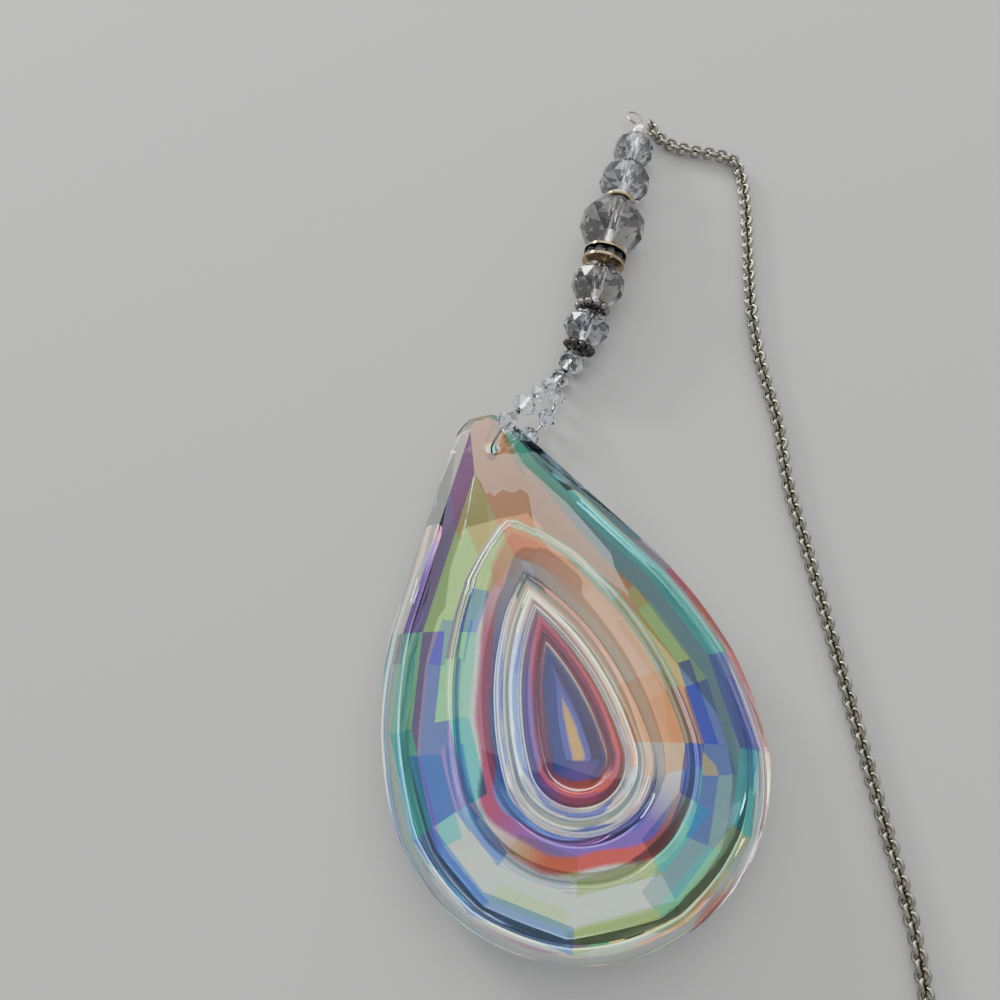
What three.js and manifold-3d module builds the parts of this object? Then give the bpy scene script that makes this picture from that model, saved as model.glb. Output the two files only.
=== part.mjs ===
// A crystal suncatcher laid flat: a pear-shaped cut-glass prism, a string of faceted beads and
// metal spacers on a doubled beading wire, and the fine chain that hangs it, with its end ring.
// Millimetres, +Z up. The prism's long axis is +Y with the hole at the top end, and its flat back
// rests on Z = 0. Everything is laid out from the centre of the prism's round bottom, and the
// group is moved at the end so that its origin is below the middle of the object without chain.

import * as THREE from 'three';
import { mergeVertices } from 'three/addons/utils/BufferGeometryUtils.js';
import Module from 'manifold-3d';

const wasm = await Module();
wasm.setup();

// ---- driving dimensions ----

const GAP = 0.3; // between touching pieces

const PRISM = {
  bottomRadius: 24.4, // half the width, and the radius of the round bottom
  sideRadius: 53, // the long curve of each side
  tipRadius: 4.8, // the rounded hole end
  tipHeight: 46.8, // from the bottom arc's centre to the tip arc's centre
  backInset: 4, // the smooth bevel round the back
  girdleLow: 4, // where the back bevel ends
  girdleHigh: 5, // where the front facets start
  thickness: 13.3, // back to front table
  holeRadius: 1,
  holeY: 44.6,
};

// The front is cut in three steps that meet the table: each starts at an inset from the outline.
const STEPS = [
  { inset: 0, slope: 36 },
  { inset: 7.8, slope: 20 },
  { inset: 12, slope: 10 },
];
// The directions that the side facets face, in degrees from +X, on the right; the straight
// side's own direction is worked out from the outline.
const FACET_DIRECTIONS = [19, 0, -25, -55, -90];
// Facets of the neck: the direction faced, the slope, and the height over the hole's centre.
const NECK_FACETS = [
  { direction: 90, slope: 15, height: 7.5 },
  { direction: 40, slope: 20, height: 8.6 },
  { direction: 90, slope: 48, height: 12.2 },
  { direction: 52, slope: 46, height: 11.3 },
];
const NECK_BACK = { slope: 12, height: 2.2 }; // lifts the hole's back edge off the table

// Nested drop-shaped rings pressed into the back. Each drop is the line at one distance from
// the centre of a common family, whose sides are arcs about points this far beyond the axis.
const RING_SPREAD = 32.6;
// How far the back is hollowed at each distance: a step, a shallow moat, a ridge and a dome.
const RING_PROFILE = [
  [14.5, 0.05], [14.2, 0.9], [13.6, 1.5], [12.6, 1.75], [10.6, 1.7], [9.0, 1.3], [8.3, 0.75],
  [7.7, 0.5], [7.1, 0.75], [6.5, 1.7], [5.8, 2.7], [4.9, 3.25], [4.2, 3.15], [3.7, 2.85],
  [3.2, 3.2], [2.2, 3.7], [1.0, 3.95],
];
const DOME = 4.0;

const WIRE = { radius: 0.18, apart: 0.22 }; // the wire, and each strand's distance from mid-string
const BORE = 0.8; // bead holes, which take both strands

// The string's line over the table, from the bead where the legs meet to the wire loop: it bends
// a little near its lower end.
const STRING = [[13.5, 56.5], [18, 61], [27.5, 78], [39, 99], [41, 102.5]];
// What is threaded on it, in order: name, kind, diameter and length.
const THREADED = [
  ['leg_top_bead', 'bead', 3.2, 2.4],
  ['small_round_bead', 'bead', 4.2, 3.2],
  ['dark_daisy_spacer', 'daisy', 5.3, 1.2],
  ['lower_faceted_bead', 'bead', 7.2, 4.8],
  ['silver_daisy_spacer', 'daisy', 5.6, 1.3],
  ['middle_smoky_bead', 'bead', 8.4, 6.6],
  ['rhinestone_rondelle', 'rondelle', 6.8, 2.3],
  ['large_round_bead', 'bead', 10.3, 9.0],
  ['gold_ring_spacer', 'ring', 5.5, 1.0],
  ['upper_faceted_bead', 'bead', 8.2, 7.5],
  ['top_rondelle_bead', 'bead', 6.6, 6.8],
  ['crimp_bead', 'crimp', 3.0, 3.2],
];

// Small crystals on the two legs of wire between the string and the prism's hole: their diameters
// from the string down, the space between them, how long each is for its diameter, and how far the
// leg's middle swings aside and up from a straight line.
const LEG_BORE = 0.55;
const LEG_BEAD_LENGTH = 0.9;
const FRONT_LEG = { name: 'front_leg_bead', beads: [2.6, 2.6, 3.8, 3.4], apart: 1.2, aside: 0, lift: 1.7 };
const BACK_LEG = { name: 'back_leg_bead', beads: [2.8, 3.2, 3.4], apart: 1, aside: 2, lift: 0.8 };
const TOP_LOOP = { length: 4.5, halfWidth: 0.9, drop: 0.8, turn: 34 };

const CHAIN = { radius: 1.15, sides: 8, step: 3, height: 1.2 };
// The chain's route over the table: round a corner beside the wire loop, down past the prism's
// right side, and round below it to the end ring.
const CHAIN_ROUTE = [
  [42, 101], [42, 99], [44, 96], [47, 94], [51, 92], [53, 90], [53, 87], [52, 82], [49, 72],
  [46, 62], [44, 52], [43, 42], [41, 32], [40, 22], [39, 12], [38, 2], [37, -8], [36, -18],
  [35, -28], [33, -38], [31, -44], [26, -48], [20, -50], [14, -50], [7, -49],
];
const END_RING = { radius: 3.4, wire: 0.6 };

// ---- materials ----

const look = (color, roughness, metalness, opacity = 1) =>
  new THREE.MeshStandardMaterial({ color, roughness, metalness, opacity, transparent: opacity < 1 });
const MATERIALS = {
  crystal: look(0xd9e6dd, 0.03, 0, 0.45),
  clear: look(0xe6ecea, 0.05, 0, 0.4),
  smoky: look(0xa7a49a, 0.05, 0, 0.5),
  silver: look(0x9b968a, 0.3, 1),
  darkSilver: look(0x4a4641, 0.35, 1),
  gold: look(0xb79a5b, 0.25, 1),
  wire: look(0x6d6a64, 0.35, 1),
};

// ---- helpers ----

const rad = THREE.MathUtils.degToRad;
const vec = (p) => new THREE.Vector3(...p);

/** A geometry from rings of points, each joined to the next, closed by a fan at both ends. */
function loft(rings) {
  const count = rings[0].length;
  const points = rings.flat();
  const index = [];
  for (let r = 0; r + 1 < rings.length; r++) {
    for (let i = 0; i < count; i++) {
      const a = r * count + i;
      const b = r * count + ((i + 1) % count);
      index.push(a, b, b + count, a, b + count, a + count);
    }
  }
  const middle = (ring) => ring.reduce((sum, p) => sum.add(p), new THREE.Vector3()).divideScalar(count);
  const last = (rings.length - 1) * count;
  points.push(middle(rings[0]), middle(rings[rings.length - 1]));
  for (let i = 0; i < count; i++) {
    const next = (i + 1) % count;
    index.push(points.length - 2, next, i);
    index.push(points.length - 1, last + i, last + next);
  }
  return indexed(points, index);
}

function indexed(points, index) {
  const geometry = new THREE.BufferGeometry().setFromPoints(points);
  geometry.setIndex(index);
  return geometry;
}

function toSolid(geometry) {
  const bare = geometry.clone();
  bare.deleteAttribute('normal');
  bare.deleteAttribute('uv');
  const merged = mergeVertices(bare, 1e-5);
  return new wasm.Manifold(new wasm.Mesh({
    numProp: 3,
    vertProperties: new Float32Array(merged.attributes.position.array),
    triVerts: new Uint32Array(merged.index.array),
  }));
}

function toGeometry(solid) {
  const mesh = solid.getMesh();
  const geometry = new THREE.BufferGeometry();
  geometry.setAttribute('position', new THREE.BufferAttribute(mesh.vertProperties, 3));
  geometry.setIndex(new THREE.BufferAttribute(mesh.triVerts, 1));
  geometry.computeVertexNormals();
  return geometry;
}

/** A tube along a curve, closed at both ends, with a section of few sides. */
function tube(curve, radius, sides, steps) {
  const corners = [];
  for (let i = 0; i < sides; i++) {
    const turn = (2 * Math.PI * i) / sides;
    corners.push(new THREE.Vector2(radius * Math.cos(turn), radius * Math.sin(turn)));
  }
  const options = { extrudePath: curve, steps, bevelEnabled: false };
  return new THREE.ExtrudeGeometry(new THREE.Shape(corners), options);
}

// ---- the prism ----

/** The angle at which each side runs straight from its curve to the tip's arc. */
function straightDirection() {
  const across = PRISM.sideRadius - PRISM.bottomRadius;
  const reach = PRISM.sideRadius - PRISM.tipRadius;
  return Math.atan2(PRISM.tipHeight, across) - Math.acos(reach / Math.hypot(across, PRISM.tipHeight));
}

/** The outline's point where its normal has this direction, on the right half, inset evenly. */
function outlinePoint(direction, inset, onTip) {
  let centre = [0, 0];
  let radius = PRISM.bottomRadius;
  if (onTip) {
    centre = [0, PRISM.tipHeight];
    radius = PRISM.tipRadius;
  } else if (direction > 0) {
    centre = [PRISM.bottomRadius - PRISM.sideRadius, 0];
    radius = PRISM.sideRadius;
  }
  const reach = radius - inset;
  return [centre[0] + reach * Math.cos(direction), centre[1] + reach * Math.sin(direction)];
}

/** The pear outline at an inset and a height, anticlockwise from the bottom. */
function outline(inset, height) {
  const straight = straightDirection();
  const right = [];
  const arc = (from, to, steps, onTip) => {
    for (let i = 0; i <= steps; i++) {
      right.push(outlinePoint(from + ((to - from) * i) / steps, inset, onTip));
    }
  };
  arc(-Math.PI / 2, 0, 16, false);
  right.pop();
  arc(0, straight, 8, false);
  arc(straight, Math.PI / 2, 6, true);
  const left = right.slice(1, -1).reverse().map(([x, y]) => [-x, y]);
  return [...right, ...left].map(([x, y]) => new THREE.Vector3(x, y, height));
}

/** A large block whose underside is a plane through a point, which cuts off what is above it. */
function cutter(point, direction, slope, below = false) {
  const size = 200;
  const side = below ? -1 : 1;
  const up = new THREE.Vector3(
    Math.sin(slope) * Math.cos(direction),
    Math.sin(slope) * Math.sin(direction),
    side * Math.cos(slope),
  );
  const block = new THREE.BoxGeometry(size, size, size);
  block.applyQuaternion(new THREE.Quaternion().setFromUnitVectors(new THREE.Vector3(0, 0, 1), up));
  const centre = vec(point).addScaledVector(up, size / 2);
  return toSolid(block.translate(centre.x, centre.y, centre.z));
}

/** The blocks that cut the front: three steps of facets, the table and the neck's facets. */
function frontCutters() {
  const cutters = [cutter([0, 0, PRISM.thickness], 0, 0)];
  const directions = [straightDirection(), ...FACET_DIRECTIONS.map(rad)];
  let height = PRISM.girdleHigh;
  STEPS.forEach(({ inset, slope }, i) => {
    if (i > 0) height += (inset - STEPS[i - 1].inset) * Math.tan(rad(STEPS[i - 1].slope));
    for (const direction of directions) {
      const [x, y] = outlinePoint(direction, inset, false);
      cutters.push(cutter([x, y, height], direction, rad(slope)));
      if (x > 1e-6) cutters.push(cutter([-x, y, height], Math.PI - direction, rad(slope)));
    }
  });
  for (const { direction, slope, height: over } of NECK_FACETS) {
    const turned = direction === 90 ? [90] : [direction, 180 - direction];
    for (const turn of turned) cutters.push(cutter([0, PRISM.holeY, over], rad(turn), rad(slope)));
  }
  return cutters;
}

/** One drop of the ring family at a distance from its centre: right side, then left. */
function drop(distance, height) {
  const points = [];
  const arc = (centreX, radius, from, to, steps) => {
    for (let i = 0; i < steps; i++) {
      const turn = from + ((to - from) * i) / steps;
      const x = centreX + radius * Math.cos(turn);
      points.push(new THREE.Vector3(x, radius * Math.sin(turn), height));
    }
  };
  const apex = Math.acos(RING_SPREAD / (RING_SPREAD + distance));
  arc(0, distance, -Math.PI, 0, 16);
  arc(-RING_SPREAD, RING_SPREAD + distance, 0, apex, 10);
  arc(RING_SPREAD, RING_SPREAD + distance, Math.PI - apex, Math.PI, 10);
  return points;
}

function ringHollow() {
  const below = drop(RING_PROFILE[0][0], -2);
  const rings = RING_PROFILE.map(([distance, height]) => drop(distance, height));
  const centre = drop(0.2, DOME);
  return toSolid(loft([below, ...rings, centre]));
}

function prism() {
  const high = PRISM.thickness + 1;
  let solid = toSolid(loft([
    outline(PRISM.backInset, 0),
    outline(0, PRISM.girdleLow),
    outline(0, high),
  ]));
  for (const block of frontCutters()) solid = solid.subtract(block);
  const back = cutter([0, PRISM.holeY, NECK_BACK.height], Math.PI / 2, rad(NECK_BACK.slope), true);
  solid = solid.subtract(back).subtract(ringHollow());
  const drill = new THREE.CylinderGeometry(PRISM.holeRadius, PRISM.holeRadius, 40, 16);
  drill.rotateX(Math.PI / 2).translate(0, PRISM.holeY, 0);
  return toGeometry(solid.subtract(toSolid(drill)));
}

// ---- beads and spacers, made along +Z about the origin ----

/** Rings of points turned half a facet each, so that the faces between them are triangles. */
function facetedRings(profile, sides) {
  return profile.map(([along, radius], row) => {
    const ring = [];
    for (let i = 0; i < sides; i++) {
      const turn = (2 * Math.PI * (i + (row % 2) / 2)) / sides;
      ring.push(new THREE.Vector3(radius * Math.cos(turn), radius * Math.sin(turn), along));
    }
    return ring;
  });
}

/** A drilled faceted bead. Its faces run in rows of triangles from end to end. */
function facetedBead(diameter, length, bore, sides = 10) {
  const half = length / 2;
  const radius = diameter / 2;
  const end = Math.max(0.42 * radius, bore + 0.35);
  const rows = [
    [-half, end], [-0.56 * half, 0.86 * radius], [0, radius], [0.56 * half, 0.86 * radius], [half, end],
  ];
  return threaded(facetedRings(rows, sides), bore, half);
}

/** A double cone, the usual cut of a small crystal. */
function bicone(diameter, length, bore) {
  const half = length / 2;
  const rows = [[-half, bore + 0.25], [0, diameter / 2], [half, bore + 0.25]];
  return threaded(facetedRings(rows, 6), bore, half);
}

function threaded(rings, bore, half) {
  const drill = new THREE.CylinderGeometry(bore, bore, 2 * half + 2, 10).rotateX(Math.PI / 2);
  return toGeometry(toSolid(loft(rings)).subtract(toSolid(drill)));
}

function lathe(profile, sides) {
  const points = profile.map(([radius, along]) => new THREE.Vector2(radius, along));
  return new THREE.LatheGeometry([...points, points[0]], sides).rotateX(Math.PI / 2);
}

/** A ring with a row of round dots about its rim. */
function daisySpacer(diameter, length) {
  const dots = 10;
  const dotRadius = length / 2;
  const middle = diameter / 2 - dotRadius;
  const half = length * 0.4;
  let solid = toSolid(lathe([[BORE + 0.2, -half], [middle, -half], [middle, half], [BORE + 0.2, half]], 20));
  for (let i = 0; i < dots; i++) {
    const turn = (2 * Math.PI * i) / dots;
    const dot = new THREE.SphereGeometry(dotRadius, 6, 4);
    dot.translate(middle * Math.cos(turn), middle * Math.sin(turn), 0);
    solid = solid.add(toSolid(dot));
  }
  return toGeometry(solid);
}

/** Two thin flanges with a row of stones set between them, proud of a core. */
function rhinestoneRondelle(diameter, length) {
  const stones = 8;
  const half = length / 2;
  const flange = 0.45;
  const radius = diameter / 2;
  const core = radius - 0.75;
  const profile = [
    [BORE + 0.2, -half], [radius, -half], [radius, flange - half], [core, flange - half],
    [core, half - flange], [radius, half - flange], [radius, half], [BORE + 0.2, half],
  ];
  let solid = toSolid(lathe(profile, 24));
  for (let i = 0; i < stones; i++) {
    const turn = (2 * Math.PI * i) / stones;
    const stone = new THREE.SphereGeometry(half - flange + 0.15, 6, 4);
    stone.translate((core + 0.15) * Math.cos(turn), (core + 0.15) * Math.sin(turn), 0);
    solid = solid.add(toSolid(stone));
  }
  return toGeometry(solid);
}

function ringSpacer(diameter, length) {
  const half = length / 2;
  const outer = diameter / 2;
  const profile = [
    [BORE + 0.4, -half], [outer - 0.25, -half], [outer, -half / 2], [outer, half / 2],
    [outer - 0.25, half], [BORE + 0.4, half],
  ];
  return lathe(profile, 24);
}

function crimpBead(diameter, length) {
  const spread = Math.PI / 4; // how far round the barrel's bulge runs, up and down from its middle
  const profile = [[BORE, -length / 2]];
  for (let i = -2; i <= 2; i++) {
    const turn = (spread * i) / 2;
    const rise = Math.sin(turn) / Math.sin(spread);
    profile.push([(diameter / 2) * Math.cos(turn), (length / 2) * rise]);
  }
  profile.push([BORE, length / 2]);
  return lathe(profile, 14);
}

const MAKERS = {
  bead: (diameter, length) => facetedBead(diameter, length, BORE),
  daisy: daisySpacer,
  rondelle: rhinestoneRondelle,
  ring: ringSpacer,
  crimp: crimpBead,
};
const FINISHES = {
  leg_top_bead: 'clear',
  small_round_bead: 'clear',
  lower_faceted_bead: 'clear',
  middle_smoky_bead: 'smoky',
  large_round_bead: 'smoky',
  upper_faceted_bead: 'clear',
  top_rondelle_bead: 'clear',
  dark_daisy_spacer: 'darkSilver',
  silver_daisy_spacer: 'silver',
  rhinestone_rondelle: 'gold',
  gold_ring_spacer: 'gold',
  crimp_bead: 'silver',
};

// ---- the layout ----

const group = new THREE.Group();

function place(name, geometry, material, position, direction) {
  const mesh = new THREE.Mesh(geometry, MATERIALS[material]);
  mesh.name = name;
  if (position) mesh.position.copy(position);
  if (direction) mesh.quaternion.setFromUnitVectors(new THREE.Vector3(0, 0, 1), direction);
  group.add(mesh);
  return mesh;
}

/** Where each threaded piece lies. Beads rest on the table, and spacers hang between them. */
function threadedPlaces() {
  const line = new THREE.CatmullRomCurve3(
    STRING.map(([x, y]) => new THREE.Vector3(x, y, 0)), false, 'centripetal',
  );
  const length = line.getLength();
  const stations = [0];
  for (let i = 1; i < THREADED.length; i++) {
    stations.push(stations[i - 1] + THREADED[i - 1][3] / 2 + GAP + THREADED[i][3] / 2);
  }
  const rests = THREADED.map(([, kind, size]) => (kind === 'bead' ? size / 2 + GAP / 3 : null));
  const centres = stations.map((station, i) => {
    const beside = ((rests[i - 1] ?? CHAIN.height) + (rests[i + 1] ?? CHAIN.height)) / 2;
    return line.getPointAt(station / length).setZ(rests[i] ?? beside);
  });
  return THREADED.map(([name, kind, diameter, along], i) => {
    const before = centres[Math.max(i - 1, 0)];
    const after = centres[Math.min(i + 1, centres.length - 1)];
    const direction = after.clone().sub(before).normalize();
    return { name, kind, diameter, along, position: centres[i], direction };
  });
}

function addString(places) {
  for (const { name, kind, diameter, along, position, direction } of places) {
    place(name, MAKERS[kind](diameter, along), FINISHES[name], position, direction);
  }
}

const HOLE_FRONT = new THREE.Vector3(0, PRISM.holeY, 9.8);
const HOLE_BACK = new THREE.Vector3(3.6, 47, 1.2);

/** Where each leg bead lies: threaded in order along a bowed line from the string to the hole. */
function legPlaces({ name, beads, apart, aside, lift }, top, hole) {
  const across = hole.clone().sub(top.position).setZ(0).normalize();
  const side = new THREE.Vector3(-across.y, across.x, 0);
  const control = top.position.clone().lerp(hole, 0.5)
    .addScaledVector(side, 2 * aside).add(new THREE.Vector3(0, 0, 2 * lift));
  const line = new THREE.QuadraticBezierCurve3(top.position, control, hole);
  let station = top.diameter / 2;
  return beads.map((diameter, i) => {
    const along = diameter * LEG_BEAD_LENGTH;
    station += apart + along / 2;
    const share = station / line.getLength();
    station += along / 2;
    const position = line.getPointAt(share);
    const direction = line.getTangentAt(share);
    return { name: `${name}_${i + 1}`, diameter, along, position, direction };
  });
}

function addLeg(places) {
  for (const { name, diameter, position, direction, along } of places) {
    place(name, bicone(diameter, along, LEG_BORE), 'clear', position, direction);
  }
}

/** The wire: out of the crimp, round the top loop, down the string, through the prism and back. */
function wireCurve(places, frontLeg, backLeg) {
  const side = (direction) => new THREE.Vector3(direction.y, -direction.x, 0).normalize();
  // Straight through each bore and a little past both of its ends.
  const bore = ({ position, direction, along }, apart) => [-1, -0.6, 0.6, 1].map((end) =>
    position.clone().addScaledVector(side(direction), apart)
      .addScaledVector(direction, end * (along / 2 + GAP / 3)));
  const strand = (sign) => places.flatMap((piece) => bore(piece, sign * WIRE.apart));
  const leg = (beads) => beads.flatMap((bead) => bore(bead, 0));
  const crimp = places[places.length - 1];
  const { length, halfWidth, drop: fall, turn } = TOP_LOOP;
  const onward = crimp.direction.clone().applyAxisAngle(new THREE.Vector3(0, 0, 1), rad(turn));
  const top = crimp.position.clone().addScaledVector(crimp.direction, crimp.along / 2);
  const loop = [
    [0.5, 1, 0.4], [0.88, 0.75, 0.9], [1, 0, 1], [0.88, -0.75, 0.9], [0.5, -1, 0.4],
  ].map(([along, sideways, down]) => top.clone().addScaledVector(onward, along * length)
    .addScaledVector(side(onward), sideways * halfWidth).setZ(top.z - down * fall));
  const points = [
    ...strand(1).slice(-4),
    ...loop,
    ...strand(-1).reverse(),
    ...leg(frontLeg),
    ...[8.4, 5.2, 2.2].map((height) => new THREE.Vector3(0, PRISM.holeY, height)),
    HOLE_BACK,
    ...leg(backLeg).reverse(),
    ...strand(1).slice(0, -4),
  ];
  points.push(points[0].clone().addScaledVector(crimp.direction, -GAP));
  return new THREE.CatmullRomCurve3(points, false, 'centripetal');
}

function addChain() {
  const route = CHAIN_ROUTE.map(([x, y]) => new THREE.Vector3(x, y, CHAIN.height));
  const curve = new THREE.CatmullRomCurve3(route, false, 'centripetal');
  const steps = Math.ceil(curve.getLength() / CHAIN.step);
  place('chain', tube(curve, CHAIN.radius, CHAIN.sides, steps), 'silver');
  const end = curve.getPointAt(1);
  const onward = curve.getTangentAt(1);
  const { radius, wire } = END_RING;
  const ring = new THREE.TorusGeometry(radius, wire, 8, 28);
  const centre = end.clone().addScaledVector(onward, radius + wire + GAP).setZ(wire + 0.02);
  place('end_ring', ring, 'silver', centre);
}

place('prism', prism(), 'crystal');
const places = threadedPlaces();
addString(places);
const frontLeg = legPlaces(FRONT_LEG, places[0], HOLE_FRONT);
const backLeg = legPlaces(BACK_LEG, places[0], HOLE_BACK);
addLeg(frontLeg);
addLeg(backLeg);
place('beading_wire', tube(wireCurve(places, frontLeg, backLeg), WIRE.radius, 6, 150), 'wire');
addChain();

// The origin goes below the middle of everything but the chain and its ring.
group.updateMatrixWorld(true);
const box = new THREE.Box3();
for (const mesh of group.children) {
  if (mesh.name !== 'chain' && mesh.name !== 'end_ring') box.expandByObject(mesh, true);
}
const middle = box.getCenter(new THREE.Vector3());
group.position.set(-middle.x, -middle.y, -box.min.z);

export default group;
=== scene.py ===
"""A crystal suncatcher lying on a table: an iridescent pear-shaped prism, its string of cut-glass
beads and metal spacers, and the fine chain it hangs by. Metres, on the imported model's frame."""

import math

import bmesh
import bpy
import numpy as np
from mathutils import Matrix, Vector, geometry


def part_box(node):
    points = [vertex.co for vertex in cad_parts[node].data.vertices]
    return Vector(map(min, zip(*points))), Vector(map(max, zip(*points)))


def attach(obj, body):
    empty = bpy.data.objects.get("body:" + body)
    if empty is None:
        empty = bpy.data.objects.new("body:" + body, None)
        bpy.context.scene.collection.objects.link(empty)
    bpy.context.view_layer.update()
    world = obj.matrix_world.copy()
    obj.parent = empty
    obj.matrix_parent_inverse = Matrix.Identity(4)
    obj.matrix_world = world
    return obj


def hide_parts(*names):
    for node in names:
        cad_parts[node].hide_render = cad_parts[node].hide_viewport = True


MM = 0.001
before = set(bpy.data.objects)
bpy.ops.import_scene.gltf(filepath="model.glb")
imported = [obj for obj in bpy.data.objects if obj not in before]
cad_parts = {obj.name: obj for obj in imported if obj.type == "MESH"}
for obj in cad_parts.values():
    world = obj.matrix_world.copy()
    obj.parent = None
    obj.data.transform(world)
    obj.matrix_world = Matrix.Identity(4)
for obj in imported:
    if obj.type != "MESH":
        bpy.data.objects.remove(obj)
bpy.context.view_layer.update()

# ---- the prism's own frame: its axis is X = 0, and its round bottom's centre is the origin ----

PRISM_LOW, PRISM_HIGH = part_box("prism")
BOTTOM_RADIUS = 24.4  # half the width, and the radius of the round bottom
SIDE_RADIUS = 53.0  # the long curve of each side
TIP_RADIUS = 4.8  # the rounded hole end
TIP_HEIGHT = 46.8  # from the bottom arc's centre to the tip arc's centre
GIRDLE_LOW, GIRDLE_HIGH = 4.0, 5.0  # where the back bevel ends, and where the facets start
BACK_INSET = 4.0  # the bevel round the back
THICKNESS = 13.3  # back to front table
HOLE_RADIUS, HOLE_Y = 1.0, 44.6
ORIGIN = Vector((
    (PRISM_LOW.x + PRISM_HIGH.x) / 2,
    PRISM_LOW.y + BOTTOM_RADIUS * MM,
    0.0,
))


def at(x, y, z=0.0):
    """A point given in the prism's own frame, in millimetres."""
    return ORIGIN + Vector((x, y, z)) * MM


# ---- camera ----

PITCH = math.radians(65)  # below level
PRISM_TURN = math.radians(14.23)  # how far the prism's axis leans left of straight ahead
SENSOR_WIDTH, FOCAL_LENGTH = 36, 41.76
CAMERA_AT = at(-17.54, -29.08, 152.6)
CAMERA_LOOK = Vector((
    math.cos(PITCH) * math.sin(PRISM_TURN),
    math.cos(PITCH) * math.cos(PRISM_TURN),
    -math.sin(PITCH),
))
camera_data = bpy.data.cameras.new("camera")
camera_data.sensor_width = SENSOR_WIDTH
camera_data.lens = FOCAL_LENGTH
camera_data.clip_start = 0.01
camera_data.clip_end = 10
camera = bpy.data.objects.new("camera", camera_data)
bpy.context.collection.objects.link(camera)
camera.location = CAMERA_AT
camera.rotation_mode = "QUATERNION"
camera.rotation_quaternion = CAMERA_LOOK.to_track_quat("-Z", "Y")
bpy.context.scene.camera = camera


# ---- helpers ----

TARNISH_GRAIN = 900.0  # how fine a metal's spots are
GLASS_IOR, CRYSTAL_IOR = 1.56, 1.54


def limited(value):
    """The value, held between 0 and 1."""
    return min(max(value, 0.0), 1.0)


def add_mesh(name, points, faces, materials, smooth=False, slots=None):
    """A mesh object in the scene. The slots say each face's place in the materials."""
    mesh = bpy.data.meshes.new(name)
    mesh.from_pydata([tuple(p) for p in points], [], [tuple(f) for f in faces])
    mesh.validate()
    for material in materials:
        mesh.materials.append(material)
    mesh.polygons.foreach_set("use_smooth", [smooth] * len(mesh.polygons))
    if slots is not None:
        mesh.polygons.foreach_set("material_index", list(slots))
    mesh.update()
    obj = bpy.data.objects.new(name, mesh)
    bpy.context.collection.objects.link(obj)
    return obj


def tube(points, radius, sides, closed=False):
    """Vertices and faces of a round wire along points, with its frame carried along."""
    count = len(points)
    along = []
    for i in range(count):
        before = points[i - 1] if closed or i else points[0]
        after = points[(i + 1) % count] if closed or i + 1 < count else points[-1]
        along.append((after - before).normalized())
    side = along[0].orthogonal().normalized()
    verts, faces = [], []
    for i, (point, ahead) in enumerate(zip(points, along)):
        side = (side - ahead * side.dot(ahead)).normalized()
        up = ahead.cross(side)
        for k in range(sides):
            turn = 2 * math.pi * k / sides
            verts.append(point + radius * (side * math.cos(turn) + up * math.sin(turn)))
    rows = count if closed else count - 1
    for i in range(rows):
        for k in range(sides):
            a, b = i * sides + k, i * sides + (k + 1) % sides
            c, d = (a + sides) % (count * sides), (b + sides) % (count * sides)
            faces.append((a, b, d, c))
    if not closed:
        faces.append(tuple(range(sides))[::-1])
        faces.append(tuple(range((count - 1) * sides, count * sides)))
    return verts, faces


def plain(name, **values):
    """A Principled material. Its values are set on the shader's own sockets."""
    material = bpy.data.materials.new(name)
    material.use_nodes = True
    shader = material.node_tree.nodes["Principled BSDF"]
    for key, value in values.items():
        shader.inputs[key.replace("_", " ")].default_value = value
    return material


def finish_piece(obj, nodes):
    """Hides the CAD nodes that a piece replaces, and puts the piece on its body."""
    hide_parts(*nodes)
    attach(obj, "root")
    return obj


def metal(name, bright, dark, roughness):
    """Metal whose colour drifts from bright to tarnished over small spots."""
    material = plain(name, Metallic=1.0, Roughness=roughness)
    nodes, links = material.node_tree.nodes, material.node_tree.links
    place = nodes.new("ShaderNodeTexCoord")
    noise = nodes.new("ShaderNodeTexNoise")
    noise.inputs["Scale"].default_value = TARNISH_GRAIN
    mix = nodes.new("ShaderNodeMix")
    mix.data_type = "RGBA"
    mix.inputs["A"].default_value = (*dark, 1)
    mix.inputs["B"].default_value = (*bright, 1)
    links.new(place.outputs["Object"], noise.inputs["Vector"])
    links.new(noise.outputs["Fac"], mix.inputs["Factor"])
    links.new(mix.outputs["Result"], nodes["Principled BSDF"].inputs["Base Color"])
    return material


def glass(name, colour):
    """Polished glass of one even colour."""
    return plain(
        name, Base_Color=(*colour, 1), Roughness=0.0, IOR=GLASS_IOR, Transmission_Weight=1.0
    )


SILVER = metal("polished_silver", (0.86, 0.84, 0.8), (0.5, 0.47, 0.42), 0.18)
OLD_SILVER = metal("old_silver", (0.34, 0.32, 0.29), (0.07, 0.065, 0.06), 0.18)
# Dark metal: the dark daisy spacer's own colour, and painted shade in the rondelle's hollow.
DARK_SILVER = metal("blackened_silver_and_painted_shade", (0.12, 0.11, 0.1), (0.02, 0.02, 0.02), 0.2)
GOLD = metal("pale_gold", (0.7, 0.56, 0.34), (0.2, 0.14, 0.07), 0.16)
WIRE_METAL = metal("beading_wire", (0.32, 0.31, 0.29), (0.12, 0.115, 0.11), 0.25)


# ---- the chain and the ring at its end ----

CHAIN_HEIGHT = 1.2
CHAIN_ROUTE = [  # from beside the wire loop down past the prism's right side, and round below it
    (42, 101), (42, 99), (44, 96), (47, 94), (51, 92), (53, 90), (53, 87), (52, 82), (49, 72),
    (46, 62), (44, 52), (43, 42), (41, 32), (40, 22), (39, 12), (38, 2), (37, -8), (36, -18),
    (35, -28), (33, -38), (31, -44), (26, -48), (20, -50), (14, -50), (7, -49),
]
ROUTE_SAMPLES = 24  # steps between two points of the route, for measuring along it
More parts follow.
